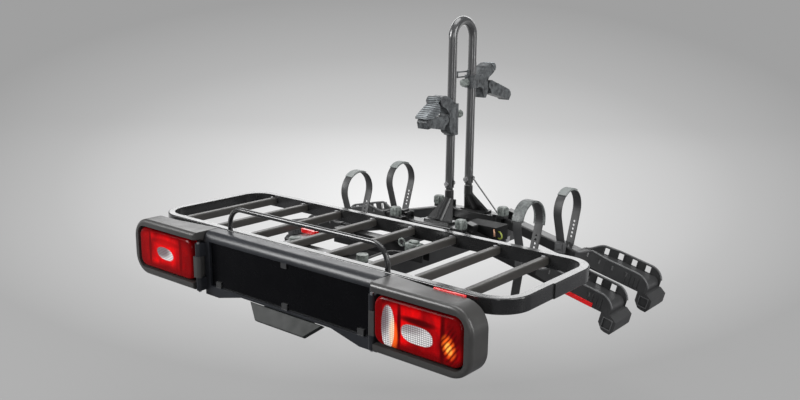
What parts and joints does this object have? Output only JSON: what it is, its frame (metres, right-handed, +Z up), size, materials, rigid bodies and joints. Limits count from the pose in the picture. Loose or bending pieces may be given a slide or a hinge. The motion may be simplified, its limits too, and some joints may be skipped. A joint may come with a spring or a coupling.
{
  "type": "hitch bike rack",
  "caption": "Folding tow-ball bicycle carrier with drooping wheel trays, strap loops, clamp mast, slatted cargo basket, pedal tilt and a fold-in rear light board",
  "frame": {"origin": "centre of the tow ball inside the coupler socket", "axes": "+X to the right seen from behind the car, +Y forwards to the car, +Z up"},
  "size_m": [1.1426, 0.982, 0.7329],
  "materials": {
    "frame_paint": "satin",
    "bare_steel": "satin",
    "coupler_paint": "satin",
    "tray_plastic": "matt",
    "panel_plastic": "gloss",
    "plate_blank": "gloss",
    "lens_red": "gloss",
    "lamp_inside": "matt",
    "strap_rubber": "matt",
    "clamp_plastic": "matt",
    "knob_grey": "matt",
    "catch_red": "gloss"
  },
  "bodies": {
    "coupler": {"coupler_housing": "coupler_paint", "coupler_pins": "bare_steel"},
    "lever": {"coupler_lever": "coupler_paint"},
    "carrier": {"side_members": "frame_paint", "rear_crossbar": "frame_paint", "tilt_bracket": "frame_paint", "near_rail": "frame_paint", "far_rail": "frame_paint", "fold_pins": "bare_steel", "mast_foot_near": "frame_paint", "mast_foot_far": "frame_paint", "mast_bolts": "bare_steel", "stay_rod": "bare_steel", "basket_ring": "frame_paint", "basket_slats": "frame_paint", "basket_screws": "bare_steel", "basket_saddles": "frame_paint", "catch_plate": "frame_paint", "clamp_hooks": "frame_paint", "guard_hoop": "frame_paint", "centre_panel": "panel_plastic", "number_plate": "plate_blank", "plate_clips": "clamp_plastic", "light_pins": "bare_steel", "pedal_pin": "bare_steel", "wiring_box": "clamp_plastic"},
    "pedal": {"foot_pedal": "panel_plastic"},
    "release_rod": {"release_rod": "bare_steel"},
    "mast": {"mast_hoop": "frame_paint"},
    "lower_clamp": {"lower_clamp_cradle": "clamp_plastic"},
    "lower_jaw": {"lower_clamp_jaw": "clamp_plastic"},
    "lower_knob": {"lower_clamp_knob": "knob_grey"},
    "upper_clamp": {"upper_clamp_cradle": "clamp_plastic"},
    "upper_jaw": {"upper_clamp_jaw": "clamp_plastic"},
    "upper_knob": {"upper_clamp_knob": "knob_grey"},
    "grip_left": {"clamp_knob_left": "knob_grey"},
    "grip_right": {"clamp_knob_right": "knob_grey"},
    "catch": {"red_catch": "catch_red"},
    "light_left": {"light_housing_left": "panel_plastic", "light_lens_left": "lens_red", "lamp_board_left": "lamp_inside"},
    "light_right": {"light_housing_right": "panel_plastic", "light_lens_right": "lens_red", "lamp_board_right": "lamp_inside"},
    "arm_near_left": {"arm_near_left": "frame_paint", "tray_near_left": "tray_plastic", "foot_near_left": "tray_plastic", "wheel_strap_near_left": "strap_rubber"},
    "arm_near_right": {"arm_near_right": "frame_paint", "tray_near_right": "tray_plastic", "foot_near_right": "tray_plastic", "wheel_strap_near_right": "strap_rubber"},
    "arm_far_left": {"arm_far_left": "frame_paint", "tray_far_left": "tray_plastic", "foot_far_left": "tray_plastic", "wheel_strap_far_left": "strap_rubber"},
    "arm_far_right": {"arm_far_right": "frame_paint", "tray_far_right": "tray_plastic", "foot_far_right": "tray_plastic", "wheel_strap_far_right": "strap_rubber"}
  },
  "joints": [
    {"name": "tilt", "type": "hinge", "parent": "coupler", "child": "carrier", "pos_m": [0, -0.062, 0.015], "axis": [1, 0, 0], "range_deg": [0, 35]},
    {"name": "coupler_lever_turn", "type": "hinge", "parent": "coupler", "child": "lever", "pos_m": [0, 0, 0.059], "axis": [-1, 0, 0], "range_deg": [0, 100]},
    {"name": "pedal_press", "type": "hinge", "parent": "carrier", "child": "pedal", "pos_m": [0, -0.874, 0.003], "axis": [1, 0, 0], "range_deg": [0, 15], "stiffness_Nm_per_rad": 2, "springref_deg": -17.19},
    {"name": "rod_pull", "type": "slide", "parent": "carrier", "child": "release_rod", "axis": [0, -1, 0], "range_m": [0, 0.0105]},
    {"name": "mast_fold", "type": "hinge", "parent": "carrier", "child": "mast", "pos_m": [0, -0.228, 0.207], "axis": [0, -1, 0], "range_deg": [-75, 0]},
    {"name": "lower_clamp_slide", "type": "slide", "parent": "mast", "child": "lower_clamp", "axis": [0, 0, 1], "range_m": [-0.04, 0.03]},
    {"name": "lower_knob_turn", "type": "hinge", "parent": "lower_clamp", "child": "lower_knob", "pos_m": [0, -0.245, 0.4], "axis": [0, 1, 0], "continuous": true},
    {"name": "upper_clamp_slide", "type": "slide", "parent": "mast", "child": "upper_clamp", "axis": [0, 0, 1], "range_m": [-0.03, 0.08]},
    {"name": "upper_knob_turn", "type": "hinge", "parent": "upper_clamp", "child": "upper_knob", "pos_m": [0, -0.211, 0.484], "axis": [0, -1, 0], "continuous": true},
    {"name": "lower_jaw_swing", "type": "hinge", "parent": "lower_clamp", "child": "lower_jaw", "pos_m": [0, -0.3205, 0.39], "axis": [1, 0, 0], "range_deg": [0, 45]},
    {"name": "upper_jaw_swing", "type": "hinge", "parent": "upper_clamp", "child": "upper_jaw", "pos_m": [0, -0.1055, 0.474], "axis": [-1, 0, 0], "range_deg": [0, 40]},
    {"name": "grip_left_turn", "type": "hinge", "parent": "carrier", "child": "grip_left", "pos_m": [-0.112, -0.762, 0.12], "axis": [0, 0, 1], "continuous": true},
    {"name": "grip_right_turn", "type": "hinge", "parent": "carrier", "child": "grip_right", "pos_m": [0.112, -0.762, 0.12], "axis": [0, 0, 1], "continuous": true},
    {"name": "catch_swing", "type": "hinge", "parent": "carrier", "child": "catch", "pos_m": [-0.133, -0.671, 0.119], "axis": [0, 0, 1], "range_deg": [0, 70]},
    {"name": "light_left_fold", "type": "hinge", "parent": "carrier", "child": "light_left", "pos_m": [-0.286, -0.924, 0.055], "axis": [0, 0, 1], "range_deg": [0, 175]},
    {"name": "light_right_fold", "type": "hinge", "parent": "carrier", "child": "light_right", "pos_m": [0.286, -0.924, 0.055], "axis": [0, 0, -1], "range_deg": [0, 175]},
    {"name": "arm_near_left_fold", "type": "hinge", "parent": "carrier", "child": "arm_near_left", "pos_m": [-0.103, -0.335, 0.113], "axis": [0, 1, 0], "range_deg": [0, 80]},
    {"name": "arm_near_right_fold", "type": "hinge", "parent": "carrier", "child": "arm_near_right", "pos_m": [0.103, -0.335, 0.113], "axis": [0, -1, 0], "range_deg": [0, 80]},
    {"name": "arm_far_left_fold", "type": "hinge", "parent": "carrier", "child": "arm_far_left", "pos_m": [-0.103, -0.132, 0.113], "axis": [0, 1, 0], "range_deg": [0, 80]},
    {"name": "arm_far_right_fold", "type": "hinge", "parent": "carrier", "child": "arm_far_right", "pos_m": [0.103, -0.132, 0.113], "axis": [0, -1, 0], "range_deg": [0, 80]}
  ],
  "couplings": [
    {"joint": "rod_pull", "follows": "pedal_press", "m_per_rad": 0.04}
  ]
}
